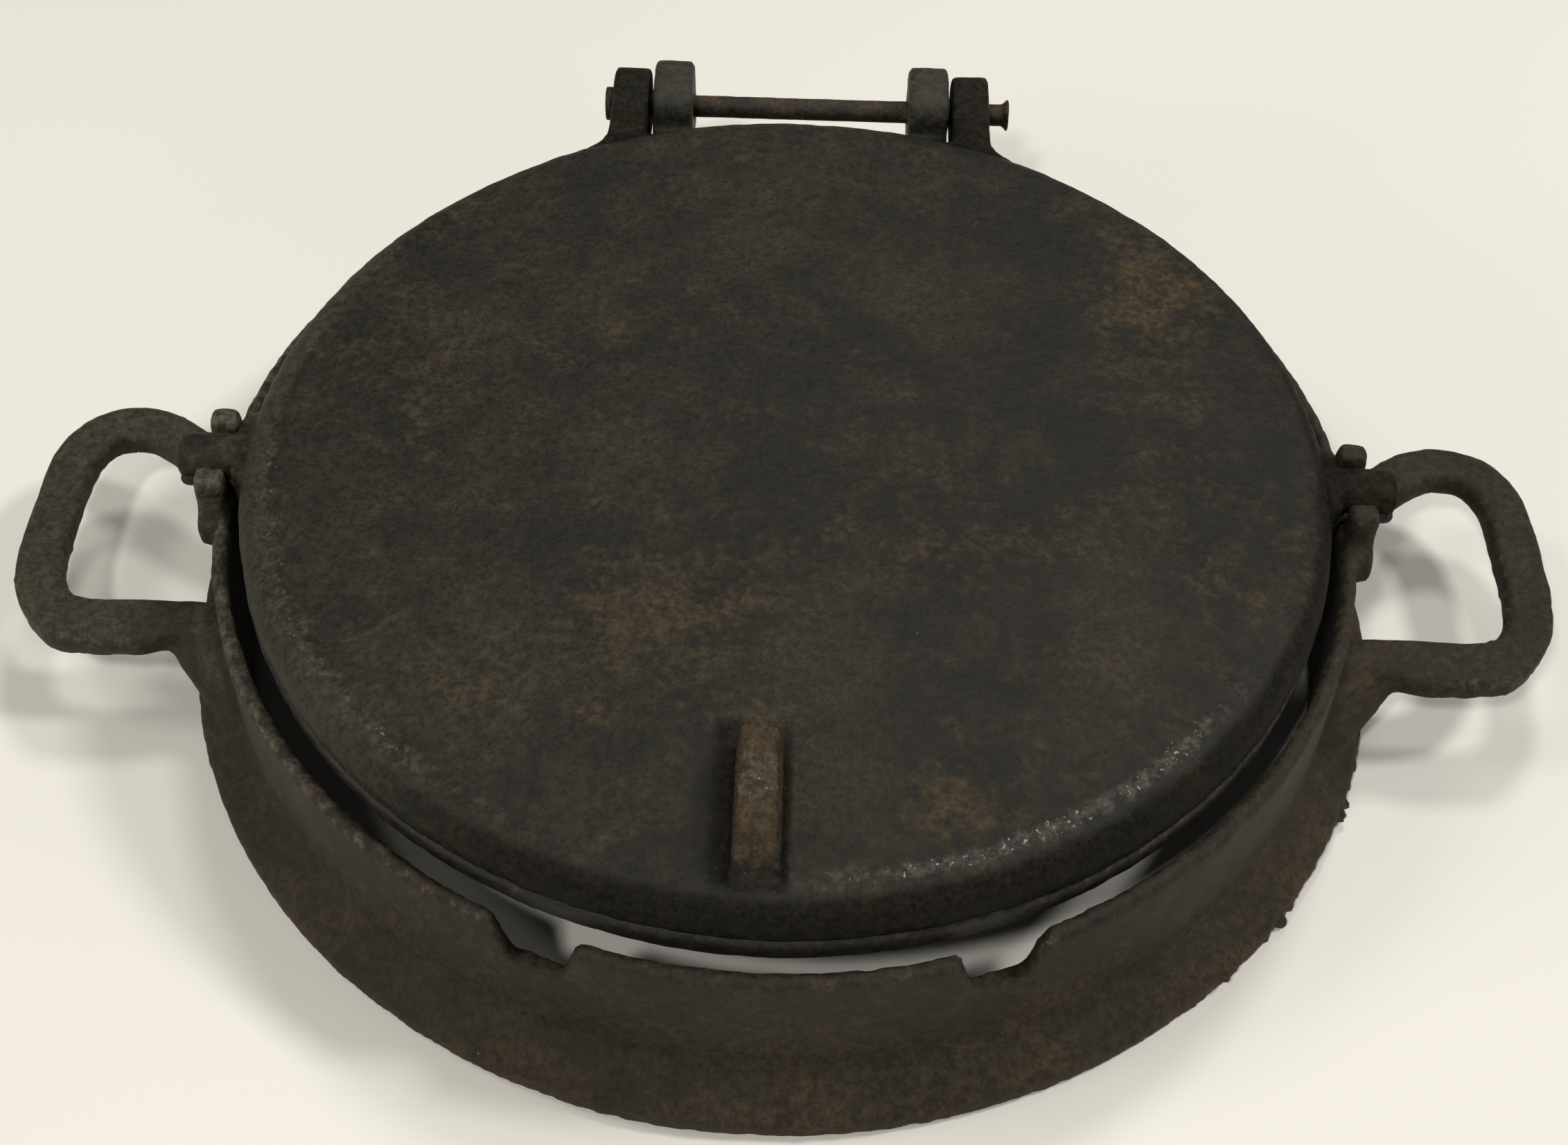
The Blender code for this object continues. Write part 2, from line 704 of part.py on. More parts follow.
def make_lower_paddle(parent):
    """The lower paddle, whose ears are the inner pair."""
    ears = (INNER_EAR_START, INNER_EAR_END, INNER_EYE)
    fillets = (SMALL_FILLET, SMALL_FILLET)
    surface = material("lower_iron", (0.028, 0.028, 0.026), 0.55, 0.6)
    make_paddle("lower_paddle", parent, (0, 0, 0), ears, fillets, -1, surface)


def make_upper_paddle(parent):
    """The upper paddle or lid, whose ears are the outer pair."""
    ears = (OUTER_EAR_START, OUTER_EAR_END, OUTER_EYE)
    fillets = (LARGE_FILLET, SMALL_FILLET)
    surface = material("upper_iron", (0.026, 0.027, 0.025), 0.5, 0.6)
    make_paddle("upper_paddle", parent, (0, -HINGE_OFFSET, 0), ears, fillets, 1, surface)


# Hinge pin


def make_pin(parent):
    """The pin, with a disc head on the left and a flared end on the right."""
    head = -OUTER_EAR_END - CLEARANCE
    tail = OUTER_EAR_END + PIN_TAIL_LENGTH
    outline = [
        (0, tail),
        (PIN_HEAD_RADIUS, tail),
        (PIN_RADIUS, tail - PIN_FLARE_LENGTH),
        (PIN_RADIUS, head),
        (PIN_HEAD_RADIUS, head),
        (PIN_HEAD_RADIUS, head - PIN_HEAD_LENGTH),
        (0, head - PIN_HEAD_LENGTH),
    ]
    shape = turned(outline, PIN_STEPS)
    bmesh.ops.rotate(shape, verts=shape.verts, matrix=Matrix.Rotation(math.pi / 2, 3, "Y"))
    pin = add_object("hinge_pin", shape, parent)
    pin.data.materials.append(material("pin_iron", (0.05, 0.042, 0.036), 0.5, 0.8))


def main():
    """Builds the whole iron."""
    for old in list(bpy.data.objects):
        bpy.data.objects.remove(old)
    iron = empty("iron", (0, RING_CENTRE_Y, 0))
    flip_axis = empty("flip_axis", (0, 0, AXIS_HEIGHT), iron)
    lid_axis = empty("lid_axis", (0, HINGE_OFFSET, 0), flip_axis)
    make_ring(iron)
    make_lower_paddle(flip_axis)
    make_upper_paddle(lid_axis)
    make_pin(lid_axis)


main()
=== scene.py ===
import itertools
import math

import bpy
import numpy as np
from mathutils import Matrix, Vector


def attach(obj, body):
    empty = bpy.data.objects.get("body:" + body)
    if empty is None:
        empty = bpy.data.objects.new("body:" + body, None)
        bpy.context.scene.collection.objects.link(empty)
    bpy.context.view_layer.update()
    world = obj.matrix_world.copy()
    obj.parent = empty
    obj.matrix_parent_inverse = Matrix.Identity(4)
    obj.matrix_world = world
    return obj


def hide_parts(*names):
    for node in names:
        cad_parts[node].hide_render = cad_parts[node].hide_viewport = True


# The look of a round cast-iron stovetop waffle iron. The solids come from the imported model; every casting gets
# a remeshed copy with a real cast surface, and a procedural iron of its own. Lengths are in metres.

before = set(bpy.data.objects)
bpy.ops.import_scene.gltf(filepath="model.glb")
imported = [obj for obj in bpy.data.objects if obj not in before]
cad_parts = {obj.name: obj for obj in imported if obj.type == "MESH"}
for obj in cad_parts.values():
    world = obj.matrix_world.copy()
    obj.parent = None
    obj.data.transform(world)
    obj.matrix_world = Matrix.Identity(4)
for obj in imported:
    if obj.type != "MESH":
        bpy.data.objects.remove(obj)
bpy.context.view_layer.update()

MM = 0.001
RING_CENTRE = np.array([0.0, -0.0034])
AXIS_HEIGHT = 0.039
HINGE_Y = 0.1111
LUG_X = -2.4 * MM
RIM_RADIUS = 102 * MM
FLOOR_GAP = 0.02 * MM
EDGE_STEP = 0.45 * MM

# Rusty patches on the lid: x, y and reach in millimetres, and how rusty the middle is
LID_PATCHES = (
    (27, -82, 18, 0.75),
    (74, 42, 25, 0.62),
    (-51, -62, 13, 0.45),
    (-30, -68, 8, 0.45),
    (-12, -44, 36, 0.34),
    (-70, 20, 24, 0.26),
    (40, 0, 36, 0.22),
    (44, -22, 26, 0.20),
)

# The lamps: name, place, size, power and tint. They all aim at one point just above the floor.
LAMP_AIM = (0, 0, 0.03)
LAMPS = (
    ("front", (-0.197, -0.541, 0.793), 0.09, 2.9, (1, 0.98, 0.94)),
    ("back", (0.15, 0.65, 1.15), 0.25, 4.7, (1, 0.98, 0.94)),
    ("right", (0.76, 0.07, 1.02), 0.20, 6.0, (1, 0.98, 0.95)),
    ("left", (-0.76, 0.10, 1.02), 0.35, 2.2, (1, 0.985, 0.92)),
    ("low_left", (-1.25, -0.55, 0.48), 0.50, 4.0, (1, 0.985, 0.90)),
    ("low_right", (1.25, -0.45, 0.48), 0.45, 1.7, (1, 0.97, 0.95)),
)
AMBIENT = 0.13

# The floor: its half width, where it starts and ends to turn into the backdrop, and the backdrop's colour
FLOOR_HALF = 2.5
FLOOR_FADE = (0.35, 0.9)
PAPER = (0.835, 0.81, 0.75)

# The photo's camera: distance, picture width and focal length in pixels, its three angles, its two shifts and
# the height it looks at
EYE_DISTANCE = 0.4149
PICTURE_WIDTH = 2263
FOCAL_PIXELS = 3070.36
EYE_DROP = 48.97
EYE_TURN = 0.65
EYE_ROLL = 1.35
EYE_ACROSS = 0.00021
EYE_UPWARD = 0.00886
TARGET_HEIGHT = 0.025
SENSOR = 36


# The cast surface


LATTICE_SIDE = 64
LATTICE = np.random.default_rng(7).standard_normal((LATTICE_SIDE,) * 3)


def clouds(points, size, shift=0.0):
    """Smooth random values about 0, with a spread of about 0.6, that change over a distance of size."""
    spots = points / size + shift
    base = np.floor(spots).astype(int)
    part = spots - base
    part = part * part * (3 - 2 * part)
    total = np.zeros(len(points))
    for corner in itertools.product((0, 1), repeat=3):
        step = np.array(corner)
        weight = np.prod(np.where(step == 1, part, 1 - part), axis=1)
        total += weight * LATTICE[tuple(((base + step) % LATTICE_SIDE).T)]
    return total


def fade(values, low, high):
    """0 below low, 1 above high, and smooth between them. low may be the higher of the two."""
    t = np.clip((values - low) / (high - low), 0, 1)
    return t * t * (3 - 2 * t)


def arrays(mesh):
    points = np.empty(len(mesh.vertices) * 3, np.float32)
    mesh.vertices.foreach_get("co", points)
    normals = np.empty(len(mesh.vertices) * 3, np.float32)
    mesh.vertex_normals.foreach_get("vector", normals)
    return points.reshape(-1, 3).astype(float), normals.reshape(-1, 3).astype(float)


def edge_pairs(mesh):
    pairs = np.empty(len(mesh.edges) * 2, np.int32)
    mesh.edges.foreach_get("vertices", pairs)
    return pairs.reshape(-1, 2)


def relaxed(values, pairs, rounds):
    """values, each averaged with its neighbours over the mesh's edges."""
    count = np.bincount(pairs.ravel(), minlength=len(values)).astype(float)
    count = np.maximum(count, 1)[:, None]
    for _ in range(rounds):
        total = np.zeros_like(values)
        for axis in range(values.shape[1]):
            total[:, axis] += np.bincount(pairs[:, 0], values[pairs[:, 1], axis], len(values))
            total[:, axis] += np.bincount(pairs[:, 1], values[pairs[:, 0], axis], len(values))
        values = 0.5 * values + 0.5 * total / count
    return values


def rounded(values, pairs, rounds):
    """values with their corners smoothed away, while the thickness under them stays."""
    for _ in range(rounds):
        values = relaxed(values, pairs, 1)
        values = values - 1.06 * (relaxed(values, pairs, 1) - values)
    return values


def recast(node_name, piece_name, voxel):
    """A copy of a CAD node on an even net of faces, with its edges eased as a sand mould leaves them."""
    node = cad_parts[node_name]
    piece = bpy.data.objects.new(piece_name, node.data.copy())
    bpy.context.scene.collection.objects.link(piece)
    remesh = piece.modifiers.new("net", "REMESH")
    remesh.mode = "VOXEL"
    remesh.voxel_size = voxel * 1.0
    wrap = piece.modifiers.new("wrap", "SHRINKWRAP")
    wrap.target = node
    wrap.wrap_method = "NEAREST_SURFACEPOINT"
    ease = piece.modifiers.new("ease", "SMOOTH")
    ease.factor = 0.5
    ease.iterations = 2
    graph = bpy.context.evaluated_depsgraph_get()
    mesh = bpy.data.meshes.new_from_object(piece.evaluated_get(graph))
    piece.modifiers.clear()
    old = piece.data
    piece.data = mesh
    bpy.data.meshes.remove(old)
    mesh.name = piece_name
    mesh.materials.clear()
    mesh.shade_smooth()
    return piece


def polar(points):
    flat = points[:, :2] - RING_CENTRE
    return np.linalg.norm(flat, axis=1), np.degrees(np.arctan2(flat[:, 1], flat[:, 0]))


def bearing_distance(points, axis_y):
    """How far each point is from a line along X at the hinge height."""
    return np.hypot(points[:, 1] - axis_y, points[:, 2] - AXIS_HEIGHT)


def convexity(points, normals, pairs):
    """About 1 on an outer edge, 0 on a flat place and -1 in an inner corner."""
    return np.clip(np.sum((points - relaxed(points, pairs, 6)) * normals, axis=1) / EDGE_STEP, -1, 1)


def cast_surface(piece, lump, grain, fit, fields, nubs=None, form=None):
    """Moves the net by a casting's uneven skin, and keeps the fields that the material reads."""
    mesh = piece.data
    points, normals = arrays(mesh)
    if form is not None:
        points = form(points, normals, edge_pairs(mesh))
        mesh.vertices.foreach_set("co", points.astype(np.float32).ravel())
        mesh.update()
        points, normals = arrays(mesh)
    edge = convexity(points, normals, edge_pairs(mesh))
    rise = lump * (clouds(points, 17 * MM) + 0.5 * clouds(points, 7 * MM, 3.3))
    rise += grain * (clouds(points, 2.3 * MM, 9.1) + 0.6 * clouds(points, 1.4 * MM, 5.7))
    rise -= 0.10 * MM * fade(clouds(points, 2.6 * MM, 21.7), 1.1, 1.9)
    rise -= 0.12 * MM * fade(clouds(points, 6 * MM, 31.1), 0.7, 1.6) * fade(edge, 0.2, 0.7)
    rise *= fit(points)
    if nubs is not None:
        rise += nubs(points, edge)
    points += normals * rise[:, None]
    points[:, 2] = np.maximum(points[:, 2], FLOOR_GAP)
    mesh.vertices.foreach_set("co", points.astype(np.float32).ravel())
    mesh.update()
    values = {"rust": 0.1, "wear_and_highlight": 0.0, "dust_and_painted_light": 0.0, "spark": 0.0, "painted_shade": 0.0}
    values.update(fields(points, edge))
    # Painted shade: inner corners get darker, as shade falls there.
    values["painted_shade"] = values["painted_shade"] + 0.6 * np.clip(-edge, 0, 1)
    for name, value in values.items():
        value = np.clip(value + np.zeros(len(points)), 0, 1).astype(np.float32)
        mesh.attributes.new(name, "FLOAT", "POINT").data.foreach_set("value", value)


# Where each casting fits closely, where it is rusty, worn or rough, and where light, highlights and shade are
# painted on


def ring_fit(points):
    return fade(bearing_distance(points, RING_CENTRE[1]), 6.5 * MM, 10 * MM)


def paddle_fit(points):
    far = fade(bearing_distance(points, HINGE_Y), 5 * MM, 8 * MM)
    outside = fade(np.abs(points[:, 0]), 100 * MM, 103 * MM)
    journal = fade(bearing_distance(points, RING_CENTRE[1]), 6.5 * MM, 9 * MM)
    mating = fade(np.abs(points[:, 2] - AXIS_HEIGHT), 0.05 * MM, 0.5 * MM)
    return far * (1 - outside * (1 - journal)) * (0.25 + 0.75 * mating)


def pin_fit(points):
    return np.full(len(points), 0.35)


def ring_form(points, normals, pairs):
    """Fuller front arms on the handles, and soft hollow corners where the handles and ears meet the wall."""
    across = np.abs(points[:, 0])
    arm = fade(across, 112 * MM, 122 * MM) * fade(across, 144 * MM, 137 * MM)
    arm *= fade(points[:, 1], -22 * MM, -27 * MM)
    points[:, 1] -= 1.8 * MM * arm * fade(-normals[:, 1], 0, 0.7)
    root = fade(across, 99 * MM, 103 * MM) * fade(across, 134 * MM, 126 * MM)
    root *= fade(points[:, 1], -56 * MM, -48 * MM)
    root *= fade(points[:, 1], 24 * MM, 16 * MM) * fade(points[:, 2], 0.5 * MM, 3 * MM)
    root *= fade(bearing_distance(points, RING_CENTRE[1]), 7.5 * MM, 11 * MM)
    return points + (rounded(points, pairs, 70) - points) * root[:, None]


def ring_nubs(points, edge):
    radius, angle = polar(points)
    side = fade(angle, -62, -50) * fade(angle, -4, -12) * fade(radius, 112.5 * MM, 114.5 * MM)
    side *= fade(points[:, 2], 7 * MM, 3 * MM)
    rise = 1.3 * MM * fade(clouds(points, 2.3 * MM, 2.2), 0.6, 1.9) * side
    rise += 0.25 * MM * np.abs(clouds(points, 1.6 * MM, 4.4)) * side
    loop = fade(points[:, 0], 131 * MM, 138 * MM) * fade(points[:, 1], 6 * MM, -4 * MM)
    loop += 0.6 * fade(-points[:, 0], 125 * MM, 130 * MM) * fade(points[:, 1], 4 * MM, -4 * MM)
    rise += 0.6 * MM * fade(clouds(points, 2.2 * MM, 7.9), 0.8, 1.9) * loop * fade(edge, 0.05, 0.4)
    return rise


def ring_fields(points, edge):
    radius, angle = polar(points)
    height = points[:, 2]
    flange = fade(radius, 108 * MM, 113 * MM) * fade(height, 13 * MM, 5 * MM) * fade(radius, 121 * MM, 117 * MM)
    left = fade(points[:, 0], -30 * MM, -90 * MM)
    loops = fade(np.abs(points[:, 0]), 116 * MM, 124 * MM)
    top = fade(height, 33.5 * MM, 35.5 * MM) * fade(radius, 119 * MM, 114 * MM)
    rust = 0.16 + 0.42 * flange * (1 - 0.6 * left) - 0.12 * loops + 0.25 * clouds(points, 13 * MM, 1.7)
    # Painted light: the outer wall is lightened where light falls on it, facing the left-front (about -150
    # degrees) and the front-right (about -33 degrees).
    outer = fade(radius, 109.5 * MM, 110.5 * MM) * fade(radius, 116 * MM, 112.5 * MM)
    outer *= fade(height, 9 * MM, 17 * MM)
    lit = fade(np.abs(angle + 150), 34, 14) + 0.7 * fade(np.abs(angle + 33), 24, 8)
    # The dust on the handle loops is real. The top of the left wall is partly worn and partly lightened as a
    # painted highlight.
    dust_and_painted_light = 0.55 * loops * (1 - 0.5 * fade(points[:, 0], 0, 90 * MM)) + 0.25 * top * left + 0.75 * outer * lit
    wear_and_highlight = edge * (0.30 + 0.35 * top * left + 0.10 * loops) + 0.22 * top * left
    return {"rust": rust, "dust_and_painted_light": dust_and_painted_light, "wear_and_highlight": wear_and_highlight, "spark": 0.35 * flange + 0.2 * edge}


def lid_fields(points, edge):
    radius, angle = polar(points)
    height = points[:, 2]
    rust = 0.05 + 0.15 * clouds(points, 24 * MM, 4.1) + 0.07 * clouds(points, 9 * MM, 6.6)
    for x, y, reach, amount in LID_PATCHES:
        spot = np.array([x, y]) * MM
        rust += amount * fade(np.linalg.norm(points[:, :2] - spot, axis=1), reach * MM, 0)
    lug = fade(np.abs(points[:, 0] - LUG_X), 6 * MM, 3 * MM) * fade(height, 50.0 * MM, 52.5 * MM)
    # Painted highlight on the middle of the lug's top, where it turns down to the front.
    middle = lug * fade(np.abs(points[:, 1] + 86 * MM), 9 * MM, 2 * MM)
    # Painted light: the skirt band on the left side is lightened, as light falls on it from the left; the dust on
    # the hinge ears is real.
    band = fade(radius, 94.5 * MM, 96.5 * MM) * fade(height, 41.5 * MM, 43 * MM)
    left = fade(np.abs(angle + 172), 62, 28) + fade(np.abs(angle - 188), 62, 28)
    # Along the shoulder's edge at the front-right and lower left: worn specks and painted glints.
    shoulder = fade(np.abs(radius - 95.5 * MM), 3.2 * MM, 0.5 * MM) * fade(height, 44 * MM, 46 * MM)
    right = fade(np.abs(angle + 62), 44, 10)
    lower_left = fade(np.abs(angle + 150), 48, 20)
    ears = fade(points[:, 1], 96 * MM, 102 * MM)
    dust_and_painted_light = 0.70 * band * np.clip(left, 0, 1) * fade(radius, 103 * MM, RIM_RADIUS) + 0.62 * ears
    wear_and_highlight = shoulder * (0.60 * right + 0.35 * lower_left) + 0.42 * middle + 0.25 * fade(edge, 0.4, 0.9) * (1 - lug)
    spark = shoulder * (1.0 * right + 0.60 * lower_left) + 0.75 * middle
    # Painted shade: the skirt below the shoulder is darkened, much less where it faces left.
    side = fade(radius, 96.5 * MM, 98.5 * MM) * fade(height, 47.3 * MM, 46.2 * MM)
    side *= 1 - 0.8 * np.clip(left, 0, 1)
    # Painted shadow of the lug on the plate beside it, on both sides, weaker on the right, and not on the lug
    # itself.
    beside = points[:, 0] - LUG_X
    painted_lug_shadow = fade(beside, -9.5 * MM, -6 * MM) * fade(beside, -2.4 * MM, -3.4 * MM)
    painted_lug_shadow = np.maximum(painted_lug_shadow, 0.7 * fade(beside, 6 * MM, 4.6 * MM) * fade(beside, 2.4 * MM, 3.4 * MM))
    painted_lug_shadow *= fade(points[:, 1], -66 * MM, -70 * MM) * fade(radius, 99 * MM, 96 * MM)
    painted_shade = 0.9 * side + 0.9 * painted_lug_shadow * (1 - lug)
    rust += 0.85 * lug + 0.12 * ears + 0.3 * fade(radius, RIM_RADIUS, 104 * MM) * (1 - ears)
    return {"rust": rust, "dust_and_painted_light": dust_and_painted_light, "wear_and_highlight": wear_and_highlight, "spark": spark, "painted_shade": painted_shade}


def lower_fields(points, edge):
    ears = fade(points[:, 1], 96 * MM, 102 * MM)
    ends = fade(np.abs(points[:, 0]), RIM_RADIUS, 104 * MM)
    rust = 0.10 + 0.18 * clouds(points, 24 * MM, 8.3) + 0.12 * ears + 0.3 * ends
    return {"rust": rust, "wear_and_highlight": 0.35 * fade(edge, 0.3, 0.9), "dust_and_painted_light": 0.62 * ears}


def pin_fields(points, edge):
    return {"rust": 0.35 + 0.3 * clouds(points, 6 * MM, 2.9), "wear_and_highlight": 0.5 * edge}


# Procedural iron


class Tree:
    """Short ways to add and join the nodes of one material."""

    def __init__(self, name):
        self.material = bpy.data.materials.new(name)
        self.material.use_nodes = True
        self.tree = self.material.node_tree
        self.shader = self.tree.nodes["Principled BSDF"]

    def add(self, kind, inputs=(), **settings):
        node = self.tree.nodes.new(kind)
        for name, value in settings.items():
            setattr(node, name, value)
        for key, value in dict(inputs).items():
            if isinstance(value, bpy.types.NodeSocket):
                self.tree.links.new(value, node.inputs[key])
            else:
                node.inputs[key].default_value = value
        return node

    def noise(self, size, detail=2.0, roughness=0.5, shift=(0, 0, 0)):
        place = self.add("ShaderNodeMapping", {"Vector": self.place, "Location": shift}).outputs[0]
        inputs = {"Vector": place, "Scale": 1 / size, "Detail": detail, "Roughness": roughness}
        return self.add("ShaderNodeTexNoise", inputs).outputs["Fac"]

    def field(self, name):
        return self.add("ShaderNodeAttribute", attribute_name=name).outputs["Fac"]

    def sum(self, kind, first, second):
        return self.add("ShaderNodeMath", {0: first, 1: second}, operation=kind).outputs[0]

    def between(self, value, low, high, to_low=0.0, to_high=1.0):
        inputs = {"Value": value, "From Min": low, "From Max": high, "To Min": to_low, "To Max": to_high}
        return self.add("ShaderNodeMapRange", inputs, interpolation_type="SMOOTHSTEP").outputs[0]

    def mix(self, share, first, second, blend="MIX"):
        node = self.add("ShaderNodeMix", data_type="RGBA", blend_type=blend)
        for socket, value in ((node.inputs[0], share), (node.inputs[6], first), (node.inputs[7], second)):
            if isinstance(value, bpy.types.NodeSocket):
                self.tree.links.new(value, socket)
            else:
                socket.default_value = value
        return node.outputs[2]


def colour(red, green, blue):
    return (red, green, blue, 1)


def iron(name, dark, warm, rust, dust_and_painted_light, worn_and_highlit, pale, painted_shade, rough, grain, gloss):
    """Old iron: a dark skin in two tones with a sandy grain, and rust, dust, rubbed places and bare specks by
    their fields, with painted light, painted highlights, painted glints and painted shade carried in the same
    fields.
    """
    t = Tree(name)
    t.place = t.add("ShaderNodeTexCoord").outputs["Object"]
    broad = t.noise(34 * MM, 4.0, 0.62)
    patch = t.noise(8 * MM, 4.0, 0.62, (3, 1, 7))
    fleck = t.noise(1.9 * MM, 3.0, 0.6, (1, 9, 2))
    sand = t.noise(0.8 * MM, 2.0, 0.6, (8, 4, 4))
    spark = t.noise(0.8 * MM, 2.0, 0.6, (5, 5, 1))
    tone = t.sum("ADD", t.sum("MULTIPLY", broad, 0.62), t.sum("MULTIPLY", patch, 0.38))
    skin = t.mix(t.between(tone, 0.38, 0.64), dark, warm)
    rust_reach = t.sum("ADD", t.field("rust"), t.sum("MULTIPLY", t.sum("SUBTRACT", patch, 0.5), 1.5))
    rust_reach = t.sum("ADD", rust_reach, t.sum("MULTIPLY", t.sum("SUBTRACT", fleck, 0.5), 1.2))
    rusty = t.between(rust_reach, 0.15, 1.05)
    skin = t.mix(rusty, skin, rust)
    # Dust, and painted light on faces where light falls.
    dusty_and_lit = t.sum("ADD", t.field("dust_and_painted_light"), t.sum("MULTIPLY", t.sum("SUBTRACT", fleck, 0.5), 0.5))
    skin = t.mix(t.between(dusty_and_lit, 0.15, 0.85, 0.0, 0.8), skin, dust_and_painted_light)
    # Rubbed places, and painted highlights on the lid's shoulder and lug.
    rubbed_and_highlit = t.sum("ADD", t.field("wear_and_highlight"), t.sum("MULTIPLY", t.sum("SUBTRACT", fleck, 0.5), 1.3))
    rubbed_and_highlit = t.between(rubbed_and_highlit, 0.25, 0.95, 0.0, 0.7)
    skin = t.mix(rubbed_and_highlit, skin, worn_and_highlit)
    # Painted shade: darkens the skin towards near black in inner corners, on the lid's skirt and beside its lug.
    skin = t.mix(t.sum("MULTIPLY", t.field("painted_shade"), 0.75), skin, painted_shade)
    salt = t.sum("ADD", t.sum("MULTIPLY", fleck, 0.5), t.sum("MULTIPLY", sand, 0.5))
    skin = t.mix(1.0, skin, t.between(salt, 0.36, 0.64, 1 - grain, 1 + grain), "MULTIPLY")
    # Bare specks on the ring, and painted glints on the lid's shoulder and lug.
    bare_and_glint = t.between(t.sum("ADD", spark, t.sum("MULTIPLY", t.field("spark"), 0.17)), 0.77, 0.87)
    skin = t.mix(bare_and_glint, skin, pale)
    t.tree.links.new(skin, t.shader.inputs["Base Color"])
    rough_low, rough_high = rough
    coarse = t.between(salt, 0.3, 0.7, rough_low, rough_high)
    coarse = t.sum("ADD", coarse, t.sum("MULTIPLY", rusty, 0.12))
    coarse = t.sum("SUBTRACT", coarse, t.sum("MULTIPLY", rubbed_and_highlit, 0.18))
    coarse = t.sum("SUBTRACT", coarse, t.sum("MULTIPLY", bare_and_glint, 0.25))
    t.tree.links.new(coarse, t.shader.inputs["Roughness"])
    inputs = {"Height": sand, "Strength": 1.0, "Distance": grain * 0.30 * MM}
    fine = t.add("ShaderNodeBump", inputs).outputs[0]
    inputs = {"Height": fleck, "Strength": 1.0, "Distance": grain * 0.45 * MM, "Normal": fine}
    t.tree.links.new(t.add("ShaderNodeBump", inputs).outputs[0], t.shader.inputs["Normal"])
    # Where shade is painted, the specular level drops as well.
    shine = t.between(t.field("painted_shade"), 0, 1, gloss, 0.3 * gloss)
    t.tree.links.new(shine, t.shader.inputs["Specular IOR Level"])
    return t.material


RING_IRON = iron(
    "ring_iron",
    dark=colour(0.0190, 0.0158, 0.0100),
    warm=colour(0.0310, 0.0240, 0.0145),
    rust=colour(0.047, 0.0295, 0.0165),
    dust_and_painted_light=colour(0.044, 0.040, 0.026),
    worn_and_highlit=colour(0.095, 0.082, 0.058),
    pale=colour(0.17, 0.14, 0.10),
    painted_shade=colour(0.0100, 0.0085, 0.0058),
    rough=(0.62, 0.84),
    grain=0.45,
    gloss=0.25,
)
LID_IRON = iron(
    "upper_iron",
    dark=colour(0.0110, 0.0098, 0.0062),
    warm=colour(0.0255, 0.0208, 0.0128),
    rust=colour(0.047, 0.0320, 0.0160),
    dust_and_painted_light=colour(0.035, 0.034, 0.0215),
    worn_and_highlit=colour(0.070, 0.064, 0.053),
    pale=colour(0.26, 0.245, 0.21),
    painted_shade=colour(0.0075, 0.0068, 0.0050),
    rough=(0.52, 0.72),
    grain=0.48,
    gloss=0.22,
)
LOWER_IRON = iron(
    "lower_iron",
    dark=colour(0.0125, 0.0115, 0.0082),
    warm=colour(0.026, 0.0215, 0.0145),
    rust=colour(0.042, 0.0280, 0.0150),
    dust_and_painted_light=colour(0.034, 0.033, 0.023),
    worn_and_highlit=colour(0.070, 0.063, 0.051),
    pale=colour(0.24, 0.22, 0.19),
    painted_shade=colour(0.0075, 0.0068, 0.0050),
    rough=(0.50, 0.72),
    grain=0.38,
    gloss=0.30,
)
PIN_IRON = iron(
    "pin_iron",
    dark=colour(0.018, 0.014, 0.010),
    warm=colour(0.034, 0.025, 0.0165),
    rust=colour(0.060, 0.034, 0.018),
    dust_and_painted_light=colour(0.040, 0.036, 0.025),
    worn_and_highlit=colour(0.085, 0.070, 0.052),
    pale=colour(0.18, 0.15, 0.12),
    painted_shade=colour(0.0100, 0.0080, 0.0060),
    rough=(0.52, 0.74),
    grain=0.5,
    gloss=0.3,
)


# The four pieces


def dress(piece, node_name, body, material):
    piece.data.materials.append(material)
    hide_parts(node_name)
    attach(piece, body)


ring = recast("base_ring", "ring_stand", 1.0 * MM)
cast_surface(ring, 0.12 * MM, 0.08 * MM, ring_fit, ring_fields, ring_nubs, ring_form)
lower = recast("lower_paddle", "lower_plate", 1.0 * MM)
cast_surface(lower, 0.09 * MM, 0.05 * MM, paddle_fit, lower_fields)
upper = recast("upper_paddle", "upper_plate", 1.0 * MM)
cast_surface(upper, 0.09 * MM, 0.05 * MM, paddle_fit, lid_fields)
pin = recast("hinge_pin", "hinge_rod", 0.4 * MM)
cast_surface(pin, 0.08 * MM, 0.05 * MM, pin_fit, pin_fields)

dress(ring, "base_ring", "base", RING_IRON)
dress(lower, "lower_paddle", "lower", LOWER_IRON)
dress(upper, "upper_paddle", "upper", LID_IRON)
dress(pin, "hinge_pin", "lower", PIN_IRON)
for piece in (ring, lower, upper, pin):
    print(piece.name, len(piece.data.polygons), "faces")


# The floor, the lamps and the white surroundings


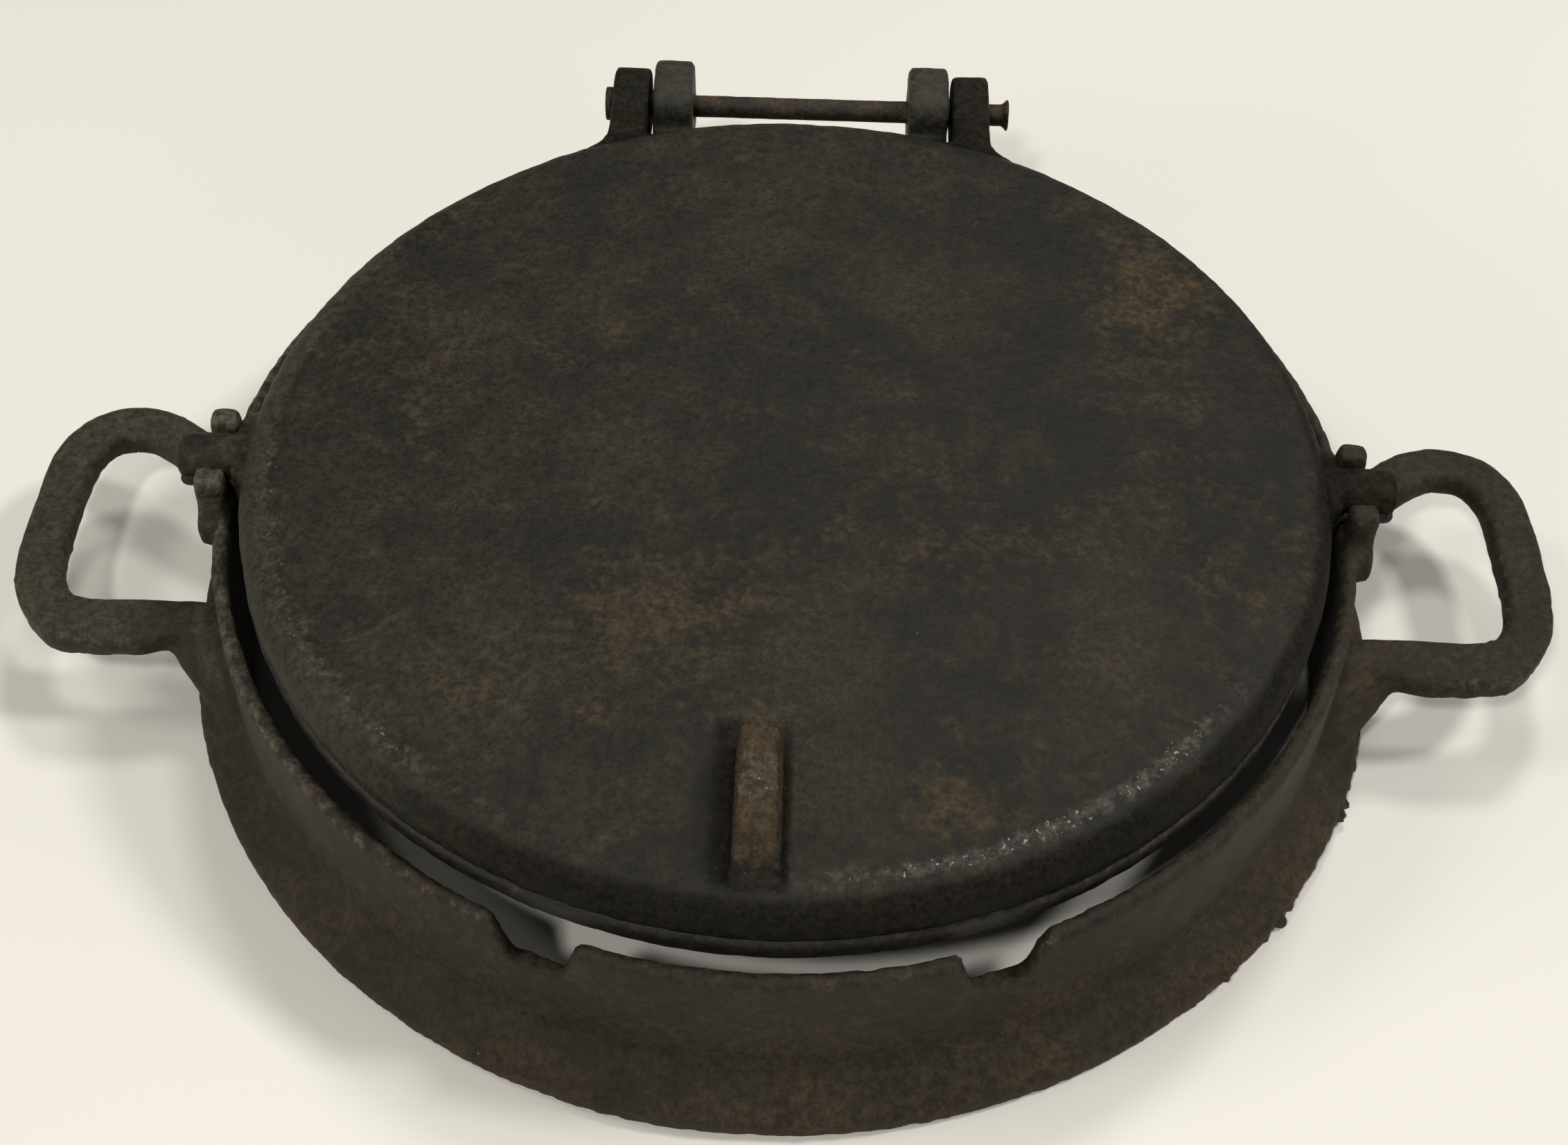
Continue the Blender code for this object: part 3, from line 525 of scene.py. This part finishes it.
def floor():
    """Pale paper, lit near the object, that turns into an even pale backdrop further out."""
    mesh = bpy.data.meshes.new("floor")
    corners = [(FLOOR_HALF * x, FLOOR_HALF * y, 0) for x, y in ((-1, -1), (1, -1), (1, 1), (-1, 1))]
    mesh.from_pydata(corners, [], [(0, 1, 2, 3)])
    sheet = bpy.data.objects.new("floor", mesh)
    bpy.context.scene.collection.objects.link(sheet)
    t = Tree("paper")
    t.place = t.add("ShaderNodeTexCoord").outputs["Object"]
    tone = t.mix(t.between(t.noise(0.4, 2.0), 0.3, 0.7), colour(0.80, 0.775, 0.715), colour(0.83, 0.805, 0.745))
    t.tree.links.new(tone, t.shader.inputs["Base Color"])
    t.shader.inputs["Roughness"].default_value = 0.85
    t.shader.inputs["Specular IOR Level"].default_value = 0.2
    away = t.add("ShaderNodeVectorMath", {0: t.place}, operation="LENGTH").outputs["Value"]
    path = t.add("ShaderNodeLightPath")
    seen = t.sum("MAXIMUM", path.outputs["Is Camera Ray"], path.outputs["Is Glossy Ray"])
    share = t.sum("MULTIPLY", t.between(away, *FLOOR_FADE), seen)
    glow = t.add("ShaderNodeEmission", {"Color": colour(*PAPER)}).outputs[0]
    both = t.add("ShaderNodeMixShader", {0: share, 1: t.shader.outputs[0], 2: glow}).outputs[0]
    t.tree.links.new(both, t.tree.nodes["Material Output"].inputs["Surface"])
    mesh.materials.append(t.material)


def lamp(name, place, size, power, tint):
    data = bpy.data.lights.new(name, "AREA")
    data.shape = "DISK"
    data.size = size
    data.energy = power
    data.color = tint
    thing = bpy.data.objects.new(name, data)
    thing.location = place
    thing.rotation_euler = (Vector(LAMP_AIM) - Vector(place)).to_track_quat("-Z", "Y").to_euler()
    bpy.context.scene.collection.objects.link(thing)


def surroundings():
    world = bpy.data.worlds.new("studio")
    bpy.context.scene.world = world
    world.use_nodes = True
    tree = world.node_tree
    light = tree.nodes["Background"]
    light.inputs["Color"].default_value = (1, 0.985, 0.96, 1)
    light.inputs["Strength"].default_value = AMBIENT
    backdrop = tree.nodes.new("ShaderNodeBackground")
    backdrop.inputs["Color"].default_value = colour(*PAPER)
    path = tree.nodes.new("ShaderNodeLightPath")
    mix = tree.nodes.new("ShaderNodeMixShader")
    tree.links.new(path.outputs["Is Camera Ray"], mix.inputs[0])
    tree.links.new(light.outputs[0], mix.inputs[1])
    tree.links.new(backdrop.outputs[0], mix.inputs[2])
    tree.links.new(mix.outputs[0], tree.nodes["World Output"].inputs["Surface"])


floor()
for row in LAMPS:
    lamp(*row)
surroundings()


# The camera


def camera():
    """The photo's view: nearly square to the ring's front, 49 degrees down, and rolled a little."""
    drop, turn, roll = math.radians(EYE_DROP), math.radians(EYE_TURN), math.radians(EYE_ROLL)
    back = Vector((math.sin(turn) * math.cos(drop), -math.cos(turn) * math.cos(drop), math.sin(drop)))
    right = Vector((math.cos(turn), math.sin(turn), 0))
    up = back.cross(right)
    across = math.cos(roll) * right + math.sin(roll) * up
    upward = math.cos(roll) * up - math.sin(roll) * right
    eye = Vector((0, RING_CENTRE[1], TARGET_HEIGHT)) + back * EYE_DISTANCE
    eye = eye - across * EYE_ACROSS - upward * EYE_UPWARD
    data = bpy.data.cameras.new("camera")
    data.sensor_width = SENSOR
    data.lens = FOCAL_PIXELS * SENSOR / PICTURE_WIDTH
    data.clip_start = 0.01
    view = bpy.data.objects.new("camera", data)
    rows = [(across[i], upward[i], back[i], eye[i]) for i in range(3)]
    view.matrix_world = Matrix((*rows, (0, 0, 0, 1)))
    bpy.context.scene.collection.objects.link(view)
    bpy.context.scene.camera = view


camera()
bpy.context.scene.view_settings.view_transform = "Standard"
